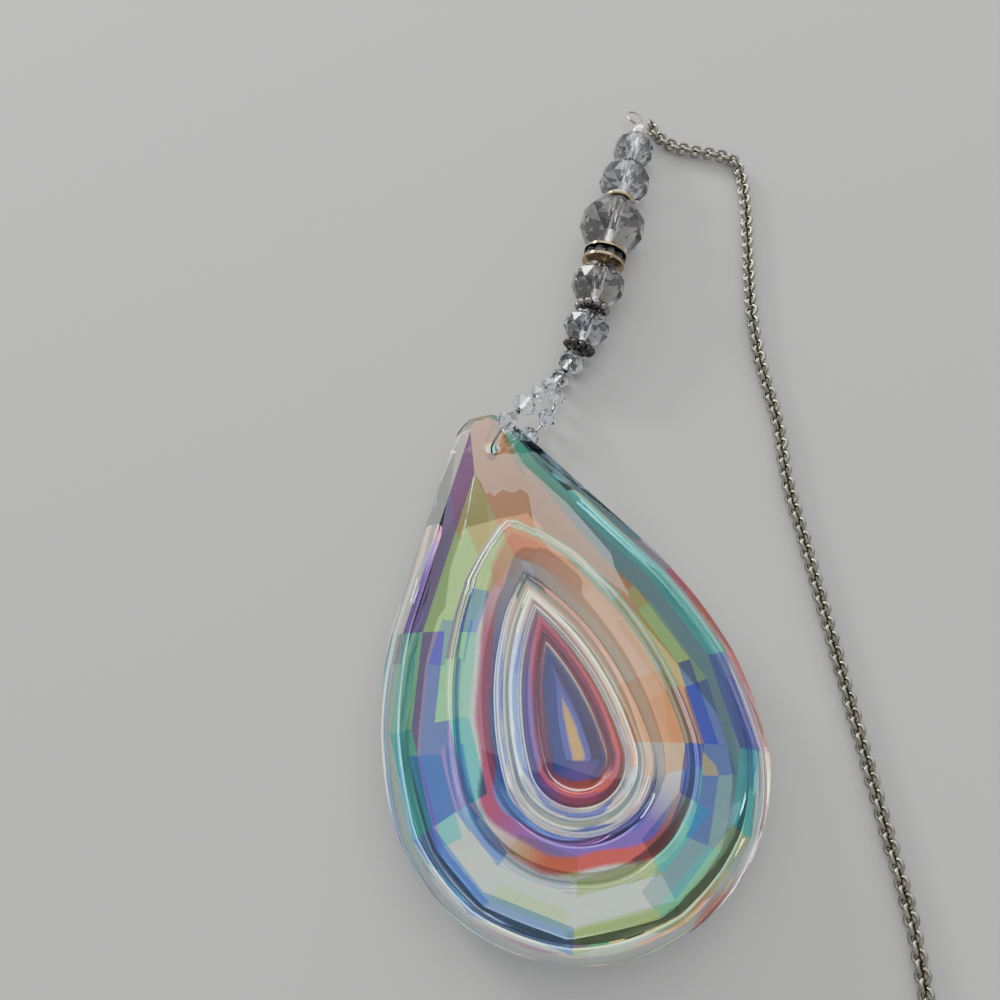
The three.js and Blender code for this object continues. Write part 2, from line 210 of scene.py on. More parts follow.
# The radius of a link outside and of its wire, and the space from link to link.
LINK = {"outer": 1.15, "wire": 0.3, "pitch": 1.08}
LINK_LEAN = math.radians(45)  # to one side and the other in turn
LINK_WANDER, WANDER_RATE = 0.12, 2.3  # how far the lean strays, and how fast along the chain
LINK_CORNERS, LINK_WIRE_SIDES = 14, 7
RING_CORNERS, RING_WIRE_SIDES = 64, 16
RING_WITHIN = 0.98  # the ring's wire as a share of its solid's, to stay inside it


def between(p, q, start, end, t):
    """The point at time t on the line that passes p at the start and q at the end."""
    return p * ((end - t) / (end - start)) + q * ((t - start) / (end - start))


def smooth_route(points, step):
    """Points an even step apart along a centripetal Catmull-Rom curve, and its length."""
    ends = [points[0] * 2 - points[1], *points, points[-1] * 2 - points[-2]]
    dense = []
    for p0, p1, p2, p3 in zip(ends, ends[1:], ends[2:], ends[3:]):
        t0 = 0.0
        t1 = t0 + (p1 - p0).length ** 0.5
        t2 = t1 + (p2 - p1).length ** 0.5
        t3 = t2 + (p3 - p2).length ** 0.5
        for k in range(ROUTE_SAMPLES):
            t = t1 + (t2 - t1) * k / ROUTE_SAMPLES
            a1 = between(p0, p1, t0, t1, t)
            a2 = between(p1, p2, t1, t2, t)
            a3 = between(p2, p3, t2, t3, t)
            b1 = between(a1, a2, t0, t2, t)
            b2 = between(a2, a3, t1, t3, t)
            dense.append(between(b1, b2, t1, t2, t))
    dense.append(points[-1])
    lengths = [0.0]
    for a, b in zip(dense, dense[1:]):
        lengths.append(lengths[-1] + (b - a).length)
    total = lengths[-1]
    count = max(2, round(total / step))
    even, j = [], 0
    for i in range(count + 1):
        want = total * i / count
        while j + 2 < len(lengths) and lengths[j + 1] < want:
            j += 1
        share = (want - lengths[j]) / max(lengths[j + 1] - lengths[j], 1e-12)
        even.append(dense[j].lerp(dense[j + 1], limited(share)))
    return even, total


chain_points = [at(x, y, CHAIN_HEIGHT) for x, y in CHAIN_ROUTE]
chain_line, chain_length = smooth_route(chain_points, LINK["pitch"] * MM)


def chain_mesh():
    """Round links, each turned a quarter from the last so that they pass through each other."""
    verts, faces = [], []
    middle = (LINK["outer"] - LINK["wire"]) * MM
    for i in range(len(chain_line)):
        before = chain_line[max(i - 1, 0)]
        after = chain_line[min(i + 1, len(chain_line) - 1)]
        ahead = (after - before).normalized()
        side = Vector((0, 0, 1)).cross(ahead).normalized()
        up = ahead.cross(side)
        lean = (LINK_LEAN if i % 2 else -LINK_LEAN) + LINK_WANDER * math.sin(WANDER_RATE * i)
        across = side * math.cos(lean) + up * math.sin(lean)
        ring = []
        for k in range(LINK_CORNERS):
            turn = 2 * math.pi * k / LINK_CORNERS
            ring.append(chain_line[i] + middle * (ahead * math.cos(turn) + across * math.sin(turn)))
        v, f = tube(ring, LINK["wire"] * MM, LINK_WIRE_SIDES, closed=True)
        faces += [tuple(len(verts) + n for n in face) for face in f]
        verts += v
    return verts, faces


CHAIN_METAL = metal("antique_silver", (0.46, 0.43, 0.36), (0.14, 0.125, 0.1), 0.2)
chain = add_mesh("rolo_chain", *chain_mesh(), [CHAIN_METAL], smooth=True)
finish_piece(chain, ["chain"])


def build_end_ring():
    """The round ring that the chain ends in, on its CAD solid's place."""
    low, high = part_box("end_ring")
    thick = (high.z - low.z) / 2
    reach = (high.x - low.x) / 2 - thick
    centre = (low + high) / 2
    line = []
    for k in range(RING_CORNERS):
        turn = 2 * math.pi * k / RING_CORNERS
        line.append(centre + Vector((reach * math.cos(turn), reach * math.sin(turn), 0)))
    wire = tube(line, thick * RING_WITHIN, RING_WIRE_SIDES, closed=True)
    ring = add_mesh("round_end_ring", *wire, [SILVER], smooth=True)
    return finish_piece(ring, ["end_ring"])


end_ring = build_end_ring()

# ---- floor and light ----

FLOOR_REACH = 1  # metres each way
FLOOR_DROP = 0.00002  # keeps the floor just clear of the faces that rest on it
floor_material = plain("floor_paint", Base_Color=(0.46, 0.45, 0.435, 1), Roughness=0.75)
floor_corners = [
    (x * FLOOR_REACH, y * FLOOR_REACH, 0) for x, y in ((-1, -1), (1, -1), (1, 1), (-1, 1))
]
floor = add_mesh("floor", floor_corners, [(0, 1, 2, 3)], [floor_material])
floor.location.z = -FLOOR_DROP


def softbox(name, where, look, size, power):
    """A rectangular area light that faces a point."""
    data = bpy.data.lights.new(name, "AREA")
    data.shape = "RECTANGLE"
    data.size, data.size_y = size
    data.energy = power
    light = bpy.data.objects.new(name, data)
    bpy.context.collection.objects.link(light)
    light.location = where
    light.rotation_mode = "QUATERNION"
    light.rotation_quaternion = (look - where).normalized().to_track_quat("-Z", "Y")
    return light


TARGET = at(0, 10, 5)
softbox("window_left", TARGET + Vector((-0.4, 0.75, 0.27)), TARGET, (0.25, 0.15), 6)
softbox("sky_panel", TARGET + Vector((0.15, 0.45, 0.85)), TARGET, (1.2, 0.9), 3.5)
softbox("far_window", TARGET + Vector((0.3, 0.9, 0.45)), TARGET, (1.2, 0.4), 6)

world = bpy.data.worlds.new("room")
bpy.context.scene.world = world
world.use_nodes = True
world.node_tree.nodes["Background"].inputs["Color"].default_value = (0.8, 0.82, 0.85, 1)
world.node_tree.nodes["Background"].inputs["Strength"].default_value = 0.9

# ---- the prism ----

STEPS = [(0.0, 36.0), (7.8, 20.0), (12.0, 10.0)]  # inset of each step's start, and its slope
# The directions that the side facets face, in degrees from +X, on the right; the straight side's
# own direction is worked out from the outline.
FACET_DIRECTIONS = [19.0, 0.0, -25.0, -55.0, -90.0]
# Facets of the neck: the direction faced, the slope, and the height over the hole's centre.
NECK_FACETS = [(90, 15, 7.5), (40, 20, 8.6), (90, 48, 12.2), (52, 46, 11.3)]
NECK_BACK = (12.0, 2.2)  # slope and height, which lift the hole's back edge off the table
# Nested drop-shaped rings pressed into the back. Each drop is the line at one distance from the
# centre of a common family, whose sides are arcs about points this far beyond the axis.
RING_SPREAD = 32.6
# How far the back is hollowed at each distance: a step, a shallow moat, a ridge and a dome.
RING_PROFILE = [
    (14.5, 0.0), (14.2, 0.9), (13.6, 1.5), (12.6, 1.75), (10.6, 1.7), (9.0, 1.3), (8.3, 0.75),
    (7.7, 0.5), (7.1, 0.75), (6.5, 1.7), (5.8, 2.7), (4.9, 3.25), (4.2, 3.15), (3.7, 2.85),
    (3.2, 3.2), (2.2, 3.7), (1.0, 3.95), (0.2, 4.0),
]
RING_ROWS, ROW_STEP = 96, 0.15  # the rings' mesh: rows of faces, and the space between them
RING_POINTS = {"bottom": 57, "side": 33}  # points along each arc of a drop
OUTLINE_POINTS = {"bottom": 33, "side": 17, "tip": 13}
ON_PLANE, ON_AXIS, SAME_CORNER = 1e-7, 1e-6, 1e-5  # how near counts as on it, in millimetres
WELD = 4e-6  # metres between corners that are one
STRIP_CUT = 1e-7  # metres from a strip's line that count as on it
LARGEST_GAP = 8  # the most sides of a hole that rounding may leave in the mesh
PRISM_SHARP = math.radians(28)  # edges steeper than this stay sharp
DRILL_BELOW, DRILL_ABOVE, DRILL_SIDES = 5, 18, 32


def straight_direction():
    """The way that the straight run from side to tip faces, on the right half."""
    across = SIDE_RADIUS - BOTTOM_RADIUS
    reach = SIDE_RADIUS - TIP_RADIUS
    return math.atan2(TIP_HEIGHT, across) - math.acos(reach / math.hypot(across, TIP_HEIGHT))


def outline_point(direction, inset, on_tip=False):
    """The pear outline's point that faces this way, on the right half, moved in by an inset."""
    centre, radius = (0.0, 0.0), BOTTOM_RADIUS
    if on_tip:
        centre, radius = (0.0, TIP_HEIGHT), TIP_RADIUS
    elif direction > 0:
        centre, radius = (BOTTOM_RADIUS - SIDE_RADIUS, 0.0), SIDE_RADIUS
    reach = radius - inset
    return (centre[0] + reach * math.cos(direction), centre[1] + reach * math.sin(direction))


def outline(inset, height):
    """The whole outline at a height, moved in by an inset, from the bottom round to the right."""
    turn = straight_direction()
    bottom = np.linspace(-90, 0, OUTLINE_POINTS["bottom"])[:-1]
    side = np.linspace(0, turn, OUTLINE_POINTS["side"])
    tip = np.linspace(turn, math.pi / 2, OUTLINE_POINTS["tip"])
    right = [outline_point(math.radians(a), inset) for a in bottom]
    right += [outline_point(a, inset) for a in side]
    right += [outline_point(a, inset, True) for a in tip]
    left = [(-x, y) for x, y in right[1:-1]][::-1]
    return [Vector((x, y, height)) for x, y in right + left]


def clip(faces, point, normal, tag):
    """Cuts a convex solid, given as tagged polygons, and keeps what lies behind the plane."""
    kept, rim = [], []
    for poly, name in faces:
        side = [(p - point).dot(normal) for p in poly]
        if max(side) <= ON_PLANE:
            kept.append((poly, name))
            continue
        out = []
        for i, p in enumerate(poly):
            q, a, b = poly[(i + 1) % len(poly)], side[i], side[(i + 1) % len(poly)]
            if a <= 0:
                out.append(p)
            if (a < 0 < b) or (b < 0 < a):
                cut = p.lerp(q, a / (a - b))
                out.append(cut)
                rim.append(cut)
            elif a == 0:
                rim.append(p)
        if len(out) > 2:
            kept.append((out, name))
    if len(rim) > 2:
        middle = sum(rim, Vector()) / len(rim)
        u = normal.orthogonal().normalized()
        v = normal.cross(u)
        rim.sort(key=lambda p: math.atan2((p - middle).dot(v), (p - middle).dot(u)))
        cap = [p for i, p in enumerate(rim) if (p - rim[i - 1]).length > SAME_CORNER]
        if len(cap) > 2:
            kept.append((cap, tag))
    return kept


def plane(direction, slope, downward=False):
    """The normal of a plane that faces a direction and slopes away from level."""
    up = -1.0 if downward else 1.0
    return Vector((
        math.sin(slope) * math.cos(direction),
        math.sin(slope) * math.sin(direction),
        up * math.cos(slope),
    ))


def cut_crystal():
    """The crystal's outer faces, each tagged with the facet it belongs to."""
    low, mid, high = outline(BACK_INSET, 0), outline(0, GIRDLE_LOW), outline(0, THICKNESS + 2)
    count = len(low)
    faces = [(low[::-1], "flat_back"), (high, "top")]
    for i in range(count):
        j = (i + 1) % count
        faces.append(([low[i], low[j], mid[j], mid[i]], "bevel"))
        faces.append(([mid[i], mid[j], high[j], high[i]], "girdle"))
    faces = clip(faces, Vector((0, 0, THICKNESS)), Vector((0, 0, 1)), "table")
    directions = [straight_direction()] + [math.radians(a) for a in FACET_DIRECTIONS]
    height = GIRDLE_HIGH
    for step, (inset, slope) in enumerate(STEPS):
        if step:
            before = STEPS[step - 1]
            height += (inset - before[0]) * math.tan(math.radians(before[1]))
        for station, direction in enumerate(directions):
            x, y = outline_point(direction, inset)
            tilt = math.radians(slope)
            normal = plane(direction, tilt)
            faces = clip(faces, Vector((x, y, height)), normal, ("R", step, station))
            if x > ON_AXIS:
                mirrored = plane(math.pi - direction, tilt)
                faces = clip(faces, Vector((-x, y, height)), mirrored, ("L", step, station))
    for i, (direction, slope, over) in enumerate(NECK_FACETS):
        for side, turn in (("R", direction), ("L", 180 - direction)):
            if side == "L" and direction == 90:
                continue
            normal = plane(math.radians(turn), math.radians(slope))
            faces = clip(faces, Vector((0, HOLE_Y, over)), normal, (side, "neck", i))
    slope, over = NECK_BACK
    normal = plane(math.pi / 2, math.radians(slope), downward=True)
    return clip(faces, Vector((0, HOLE_Y, over)), normal, "neck_back")


def ring_height(distance):
    """How far the back is hollowed at a distance: the profile's points joined smoothly."""
    xs = [p[0] for p in RING_PROFILE][::-1]
    ys = [p[1] for p in RING_PROFILE][::-1]
    distance = min(max(distance, xs[0]), xs[-1])
    i = max(j for j in range(len(xs) - 1) if xs[j] <= distance)
    span = xs[i + 1] - xs[i]
    t = (distance - xs[i]) / span

    def slope(k):
        if k in (0, len(xs) - 1):
            return 0.0
        a = (ys[k] - ys[k - 1]) / (xs[k] - xs[k - 1])
        b = (ys[k + 1] - ys[k]) / (xs[k + 1] - xs[k])
        return 0.0 if a * b <= 0 else 2 * a * b / (a + b)

    m0, m1 = slope(i) * span, slope(i + 1) * span
    return ((2 * t**3 - 3 * t**2 + 1) * ys[i] + (t**3 - 2 * t**2 + t) * m0
            + (3 * t**2 - 2 * t**3) * ys[i + 1] + (t**3 - t**2) * m1)


def ring_loop(distance, height):
    """One drop of the family: a round bottom, the right side up to the point, and the left."""
    reach = RING_SPREAD + distance
    apex = math.acos(RING_SPREAD / reach)
    points = []
    for a in np.linspace(-math.pi, 0, RING_POINTS["bottom"])[:-1]:
        points.append((distance * math.cos(a), distance * math.sin(a)))
    for a in np.linspace(0, apex, RING_POINTS["side"])[:-1]:
        points.append((reach * math.cos(a) - RING_SPREAD, reach * math.sin(a)))
    for a in np.linspace(math.pi - apex, math.pi, RING_POINTS["side"])[:-1]:
        points.append((RING_SPREAD + reach * math.cos(a), reach * math.sin(a)))
    return [Vector((x, y, height)) for x, y in points]


def ring_distance(x, y):
    """Which drop of the family a place lies on."""
    if y < 0:
        return math.hypot(x, y)
    return math.hypot(abs(x) + RING_SPREAD, y) - RING_SPREAD


def back_faces(border):
    """The pressed back: rings inside one another, and the flat band out to the border."""
    distances = [RING_PROFILE[0][0] - ROW_STEP * i for i in range(RING_ROWS)]
    loops = [ring_loop(d, ring_height(d)) for d in distances]
    count = len(loops[0])
    faces = []
    for a, b in zip(loops, loops[1:]):
        for i in range(count):
            j = (i + 1) % count
            faces.append(([a[j], a[i], b[i], b[j]], "rings"))
    faces.append((loops[-1][::-1], "rings"))
    pool = border + loops[0]
    for tri in geometry.tessellate_polygon([border, loops[0]]):
        poly = [pool[k] for k in tri]
        if (poly[1] - poly[0]).cross(poly[2] - poly[0]).z > 0:
            poly.reverse()
        faces.append((poly, "flat_back"))
    return faces


# ---- the prism's colours ----

# The coating's colours, and the white of a painted highlight, 8 bits a channel.
COATING_AND_HIGHLIGHT = {
    "clear": (226, 234, 226),
    # a painted highlight's white
    "painted_highlight": (250, 252, 244),
    "smoke": (150, 160, 150),
    "slate": (58, 80, 86),
    "navy": (30, 34, 112),
    "violet": (82, 42, 138),
    "lilac": (144, 134, 172),
    "blue": (64, 106, 208),
    "teal": (20, 150, 150),
    "mint": (96, 240, 190),
    "lime": (196, 246, 140),
    "olive": (120, 140, 74),
    "amber": (234, 174, 62),
    "orange": (244, 150, 84),
    "peach": (250, 186, 142),
    "red": (196, 50, 44),
    "plum": (116, 22, 62),
}
# Each step's facets show the coating in strips, parted at these insets from the outline, where a
# facet mirrors the girdle and the step below it: the strips are painted reflections of these.
STRIP_INSETS = {0: (2.0, 4.8), 1: (9.6,), 2: ()}
# The strips' colours from the outline inward, by side, step and station: cool and pale on the left,
# warm towards the neck, dark along the right edge, and clear and green at the bottom. They paint
# the reflections in the coating's colours.
FACET_COLOURS = {
    ("R", 0, 0): ("slate", "teal", "slate"),
    ("R", 0, 1): ("slate", "teal", "slate"),
    ("R", 0, 2): ("lilac", "navy", "slate"),
    ("R", 0, 3): ("smoke", "teal", "slate"),
    ("R", 0, 4): ("clear", "lime", "slate"),
    ("R", 0, 5): ("clear", "olive", "clear"),
    ("L", 0, 4): ("clear", "blue", "clear"),
    ("L", 0, 3): ("clear", "blue", "clear"),
    ("L", 0, 2): ("clear", "teal", "violet"),
    ("L", 0, 1): ("clear", "mint", "violet"),
    # the outer strip's white is a painted highlight
    ("L", 0, 0): ("painted_highlight", "violet", "lime"),
    ("R", 1, 0): ("orange", "peach"),
    ("R", 1, 1): ("lime", "orange"),
    ("R", 1, 2): ("navy", "orange"),
    ("R", 1, 3): ("slate", "navy"),
    ("R", 1, 4): ("teal", "slate"),
    ("R", 1, 5): ("olive", "clear"),
    ("L", 1, 4): ("clear", "lime"),
    ("L", 1, 3): ("blue", "clear"),
    ("L", 1, 2): ("violet", "teal"),
    ("L", 1, 1): ("lime", "mint"),
    ("L", 1, 0): ("lime", "blue"),
    ("R", 2, 0): ("peach",),
    ("R", 2, 1): ("peach",),
    ("R", 2, 2): ("orange",),
    ("R", "neck", 0): ("orange",),
    ("R", "neck", 1): ("orange",),
    ("L", "neck", 1): ("lime",),
    ("R", "neck", 2): ("amber",),
    ("R", "neck", 3): ("teal",),
    ("L", "neck", 3): ("clear",),
}
# The coated rings: each band's outer distance, and its colour on the left, on the right and below.
# Their white is a painted highlight on clear glass: all round out to 8.3 mm, and on the right of
# the two bands outside that.
RING_BANDS = [
    (0.8, "amber", "amber", "navy"),
    (3.2, "navy", "navy", "violet"),
    (4.85, "plum", "plum", "red"),
    (6.5, "violet", "red", "plum"),
    (8.3, "painted_highlight", "painted_highlight", "painted_highlight"),
    (9.8, "blue", "painted_highlight", "navy"),
    (11.6, "plum", "painted_highlight", "violet"),
    (13.55, "clear", "clear", "red"),
    (99.0, "clear", "clear", "clear"),
]
MIRRORED = (("L", 0, 0), ("R", 0, 0))  # facets whose outer strip mirrors the room
BACK_TAGS = ("rings", "flat_back", "neck_back")
EDGE_TAGS = ("bevel", "girdle")
FRONT, BACK, EDGE = 0, 1, 2  # the prism's material slots
COAT_METALLIC = 0.45  # how much a coat mirrors, on the prism and on the leg beads
DRIFT = 0.06  # how far the coating's bands stray from the rings, as a share of the distance
DRIFT_WAVES = ((3, 0.6, 1.0), (7, 0.0, 0.5))  # waves round the drop, their phase and their share
BLEND = 0.4  # how softly a band passes into the next
BRIGHTENING = 0.62  # 0 leaves a colour as dark as it is, and 1 makes every colour fully bright
# A place's share of the right colour and of the lower one grows with how far aside or down it
# lies, for its distance from the middle.
RIGHT_RISE, RIGHT_FROM = 1.6, 0.5
BELOW_RISE, BELOW_FROM = 2, 0.6
NEAR_MIDDLE = 0.5  # millimetres added to that distance, so that the colours meet softly there


def tinted(colour):
    """A filter of this 8-bit colour's hue, which passes more light the brighter the colour is."""
    linear = [((c / 255 + 0.055) / 1.055) ** 2.4 for c in colour]
    return [c / max(linear) ** BRIGHTENING for c in linear]


def back_tint(x, y):
    """The back's colour by band, the coating's with a painted highlight in white, blended from left
    to right and to below.
    """
    around = math.atan2(y, x)
    distance = ring_distance(x, y)
    distance *= 1 + DRIFT * sum(s * math.sin(n * around + phase) for n, phase, s in DRIFT_WAVES)
    reach = math.hypot(x, y) + NEAR_MIDDLE
    below = limited(-y / reach * BELOW_RISE - BELOW_FROM)
    right = limited(RIGHT_FROM + x / reach * RIGHT_RISE)
    number = next(i for i, band in enumerate(RING_BANDS) if distance <= band[0])
    past = min((RING_BANDS[number][0] - distance) / BLEND, 1.0) / 2 + 0.5
    blends = []
    for band in (RING_BANDS[min(number + 1, len(RING_BANDS) - 1)], RING_BANDS[number]):
        left_colour, right_colour, below_colour = (tinted(COATING_AND_HIGHLIGHT[name]) for name in band[1:])
        beside = [a + (b - a) * right for a, b in zip(left_colour, right_colour)]
        blends.append([a + (b - a) * below for a, b in zip(beside, below_colour)])
    return [a + (b - a) * past for a, b in zip(*blends)]


def facet_direction(side, station):
    """The direction that a stepped facet faces."""
    turn = straight_direction() if station == 0 else math.radians(FACET_DIRECTIONS[station - 1])
    return turn if side == "R" else math.pi - turn


def cut_strips(mesh, tags):
    """Splits each stepped facet along its strips, and tells the strip of every face."""
    shape = bmesh.new()
    shape.from_mesh(mesh)
    facet = shape.faces.layers.int["facet"]
    strip = shape.faces.layers.int.new("strip")
    for number, tag in enumerate(tags):
        if len(tag) != 3 or tag[1] not in STRIP_INSETS:
            continue
        side, step, station = tag
        turn = facet_direction(side, station)
        normal = Vector((math.cos(turn), math.sin(turn), 0))
        for inset in STRIP_INSETS[step]:
            x, y = outline_point(facet_direction("R", station), inset)
            where = at(x if side == "R" else -x, y)
            faces = [f for f in shape.faces if f[facet] == number]
            edges = {e for f in faces for e in f.edges}
            verts = {v for f in faces for v in f.verts}
            geom = faces + list(edges) + list(verts)
            bmesh.ops.bisect_plane(
                shape, geom=geom, dist=STRIP_CUT, plane_co=where, plane_no=normal
            )
            for face in shape.faces:
                if face[facet] == number and (face.calc_center_median() - where).dot(normal) < 0:
                    face[strip] += 1
    shape.to_mesh(mesh)
    shape.free()


def coated(name, back):
    """Clear crystal whose colour is the painted tint: the coating's colours, with painted
    reflections and painted highlights. The back one also reflects.
    """
    material = plain(name, Roughness=0.0, IOR=CRYSTAL_IOR, Transmission_Weight=1.0)
    nodes, links = material.node_tree.nodes, material.node_tree.links
    shader = nodes["Principled BSDF"]
    tint = nodes.new("ShaderNodeAttribute")
    tint.attribute_name = "tint"
    if back:
        shader.inputs["Metallic"].default_value = COAT_METALLIC
        shader.inputs["Roughness"].default_value = 0.02
    links.new(tint.outputs["Color"], shader.inputs["Base Color"])
    return material


def share_corners(faces):
    """Points that the faces share, the faces as lists of their numbers, and the faces' tags. A
    face that has shrunk to a line, or is there twice, is left out with its tag."""
    index, points, polys, tags, seen = {}, [], [], [], set()
    for poly, tag in faces:
        ids = []
        for p in poly:
            key = (round(p.x, 4), round(p.y, 4), round(p.z, 4))
            if key not in index:
                index[key] = len(points)
                points.append(p)
            if not ids or ids[-1] != index[key]:
                ids.append(index[key])
        if ids[0] == ids[-1]:
            ids.pop()
        if len(ids) > 2 and len(set(ids)) == len(ids) and frozenset(ids) not in seen:
            seen.add(frozenset(ids))
            polys.append(ids)
            tags.append(tag)
    return points, polys, tags


def weld(mesh):
    """Joins the corners that are one, and closes what gaps rounding left."""
    shape = bmesh.new()
    shape.from_mesh(mesh)
    bmesh.ops.remove_doubles(shape, verts=shape.verts, dist=WELD)
    gaps = [e for e in shape.edges if e.is_boundary]
    bmesh.ops.holes_fill(shape, edges=gaps, sides=LARGEST_GAP)
    shape.to_mesh(mesh)
    shape.free()


def paint(mesh, kinds):
    """Gives every corner its tint, and the mirrored strips their coat."""
    facet, strip = mesh.attributes["facet"], mesh.attributes["strip"]
    tint = mesh.attributes.new("tint", "FLOAT_COLOR", "CORNER")
    for poly in mesh.polygons:
        tag = kinds[facet.data[poly.index].value]
        colours = FACET_COLOURS.get(tag, ("clear",))
        number = min(strip.data[poly.index].value, len(colours) - 1)
        flat = tinted(COATING_AND_HIGHLIGHT[colours[number]])
        if tag in MIRRORED and number == 0:
            poly.material_index = BACK
        for corner in poly.loop_indices:
            p = (mesh.vertices[mesh.loops[corner].vertex_index].co - ORIGIN) / MM
            colour = back_tint(p.x, p.y) if tag in BACK_TAGS else flat
            tint.data[corner].color = (*colour, 1)


def drill_mesh():
    centre = at(0, HOLE_Y, 0)
    low = centre - Vector((0, 0, DRILL_BELOW * MM))
    high = centre + Vector((0, 0, DRILL_ABOVE * MM))
    return tube([low, high], HOLE_RADIUS * MM, DRILL_SIDES)


def drill_hole(prism, materials):
    """Cuts the hole for the wire."""
    drill = add_mesh("drill", *drill_mesh(), materials)
    cut = prism.modifiers.new("hole", "BOOLEAN")
    cut.operation, cut.solver, cut.object = "DIFFERENCE", "EXACT", drill
    graph = bpy.context.evaluated_depsgraph_get()
    prism.data = bpy.data.meshes.new_from_object(prism.evaluated_get(graph))
    prism.modifiers.clear()
    bpy.data.objects.remove(drill)


def build_prism():
    """The whole crystal: cut in front, pressed behind, coated and drilled."""
    shell = cut_crystal()
    border = next(poly for poly, tag in shell if tag == "flat_back")
    faces = [(poly, tag) for poly, tag in shell if tag != "flat_back"]
    faces += back_faces([p.copy() for p in border])
    points, polys, tags = share_corners(faces)
    slots = [BACK if tag in BACK_TAGS else EDGE if tag in EDGE_TAGS else FRONT for tag in tags]
    edge = glass("crystal_edge", (0.9, 0.94, 0.93))
    materials = [coated("crystal_front", False), coated("crystal_back", True), edge]
    prism = add_mesh("cut_prism", [at(*p) for p in points], polys, materials, slots=slots)
    mesh = prism.data
    for poly, tag in zip(mesh.polygons, tags):
        poly.use_smooth = tag == "rings"
    kinds = sorted(set(tags), key=str)
    facet = mesh.attributes.new("facet", "INT", "FACE")
    facet.data.foreach_set("value", [kinds.index(tag) for tag in tags])
    weld(mesh)
    cut_strips(mesh, kinds)
    mesh.set_sharp_from_angle(angle=PRISM_SHARP)
    paint(mesh, kinds)
    drill_hole(prism, materials)
    return finish_piece(prism, ["prism"])


build_prism()

# ---- the string's glass and sizes ----

CLEAR_GLASS = glass("clear_glass", (0.88, 0.9, 0.92))
GREY_GLASS = glass("grey_glass", (0.66, 0.67, 0.71))
SMOKY_GLASS = glass("smoky_glass", (0.5, 0.48, 0.44))
# near-black glass, as painted shade on every third facet of the string's beads
PAINTED_SHADE_GLASS = glass("painted_shade_glass", (0.07, 0.075, 0.09))
STONE_GLASS = glass("stone_glass", (0.96, 0.97, 0.98))
BRIGHT_COAT = glass("bright_coat", (0.86, 0.88, 1.0))
BRIGHT_COAT.node_tree.nodes["Principled BSDF"].inputs["Metallic"].default_value = COAT_METALLIC

THREADED = [  # on the string from the legs up: node, kind, diameter, length, material and slot
    ("leg_top_bead", "bead", 3.2, 2.4, CLEAR_GLASS, "clear"),
    ("small_round_bead", "bead", 4.2, 3.2, CLEAR_GLASS, "clear"),
    ("dark_daisy_spacer", "daisy", 5.3, 1.2, DARK_SILVER, "dark_silver"),
    ("lower_faceted_bead", "bead", 7.2, 4.8, GREY_GLASS, "clear"),
    ("silver_daisy_spacer", "daisy", 5.6, 1.3, OLD_SILVER, "silver"),
    ("middle_smoky_bead", "bead", 8.4, 6.6, SMOKY_GLASS, "smoky"),
    ("rhinestone_rondelle", "rondelle", 6.8, 2.3, GOLD, "gold"),
    ("large_round_bead", "bead", 10.3, 9.0, SMOKY_GLASS, "smoky"),
    ("gold_ring_spacer", "ring", 5.5, 1.0, GOLD, "gold"),
    ("upper_faceted_bead", "bead", 8.2, 7.5, GREY_GLASS, "clear"),
    ("top_rondelle_bead", "bead", 6.6, 6.8, GREY_GLASS, "clear"),
    ("crimp_bead", "crimp", 3.0, 3.2, SILVER, "silver"),
]
# The small crystals on the two legs, from the string down: stem of the nodes' names, diameters.
LEGS = [("front_leg_bead", (2.6, 2.6, 3.8, 3.4)), ("back_leg_bead", (2.8, 3.2, 3.4))]
LEG_BEAD_LENGTH = 0.9  # for its diameter
WIRE_IN_HOLE = 8  # how high over the table the legs' lines end, at the prism's hole
STRING_BORE, LEG_BORE = 0.6, 0.4  # radii
BEAD_WALL = 0.2  # the least glass round a bore
SMALL_BEAD, SMALL_SIDES, LARGE_SIDES, LEG_SIDES = 5, 8, 12, 6  # facets round, by diameter
DOTS, STONES = 10, 10  # round a daisy spacer and a rondelle
WITHIN_SOLID = 0.985  # a piece's size as a share of its solid's, to stay inside it
METAL_SHARP = math.radians(35)
# A cut bead's rows of corners: how far along its half length, and how far out.
BEAD_ROWS = [(-1, 0.44), (-0.76, 0.74), (-0.28, 0.985), (0.28, 0.985), (0.76, 0.74), (1, 0.44)]
LEG_ROWS = [(-1, 0.42), (-0.1, 1.0), (0.1, 1.0), (1, 0.42)]


def turned(profile, sides, bore, stagger=False):
    """A body turned about Z from (height, radius) rows, with a round bore."""
    low, high = profile[0][0], profile[-1][0]
    rows = [*profile, (high, bore), (low, bore)]
    verts, faces = [], []
    for r, (height, radius) in enumerate(rows):
        shift = 0.5 if stagger and r % 2 and r < len(profile) else 0.0
        for k in range(sides):
            turn = 2 * math.pi * (k + shift) / sides
            verts.append((radius * math.cos(turn), radius * math.sin(turn), height))
    for r in range(len(rows)):
        s = (r + 1) % len(rows)
        for k in range(sides):
            a, b = r * sides + k, r * sides + (k + 1) % sides
            c, d = s * sides + k, s * sides + (k + 1) % sides
            faces += [(a, b, c), (b, d, c)] if r % 2 == 0 else [(a, b, d), (a, d, c)]
    return verts, faces


